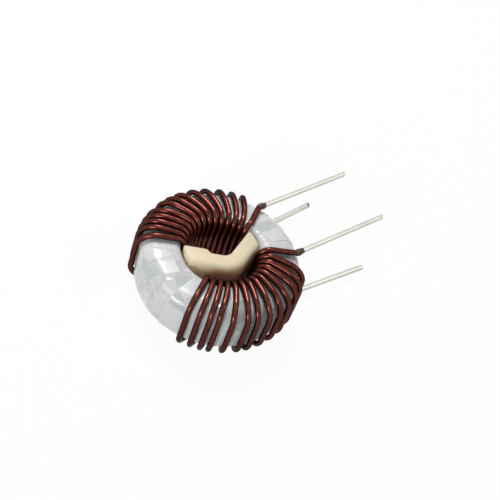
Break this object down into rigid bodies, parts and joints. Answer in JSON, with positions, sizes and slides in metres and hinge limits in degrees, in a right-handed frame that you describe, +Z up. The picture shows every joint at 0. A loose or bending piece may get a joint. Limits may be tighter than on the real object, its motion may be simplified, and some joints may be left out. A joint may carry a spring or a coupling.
{
  "type": "common-mode choke inductor",
  "caption": "Toroidal choke inductor: a ferrite ring wrapped in clear film, two enamelled copper windings kept apart by a bent plastic divider, and tinned wire leads pointing one way.",
  "frame": {"origin": "centre of the part's footprint, on the surface it lies on", "axes": "+Z up along the ring's axis, +X along the leads towards their tips, +Y towards winding A"},
  "size_m": [0.0424, 0.0282, 0.0126],
  "materials": {
    "ferrite": "matt dark grey sintered ferrite",
    "film": "glossy, pale, translucent insulating film in overlapping laps",
    "divider_plastic": "soft cream moulded plastic",
    "enamelled_wire": "glossy dark red-brown enamel over copper",
    "tinned_wire": "bright solder over copper"
  },
  "bodies": {
    "root": {"core": "ferrite", "tape_wrap": "film", "divider": "divider_plastic", "winding_a": "enamelled_wire", "winding_b": "enamelled_wire", "lead_a_upper": "tinned_wire", "lead_a_lower": "tinned_wire", "lead_b_upper": "tinned_wire", "lead_b_lower": "tinned_wire"}
  },
  "joints": []
}
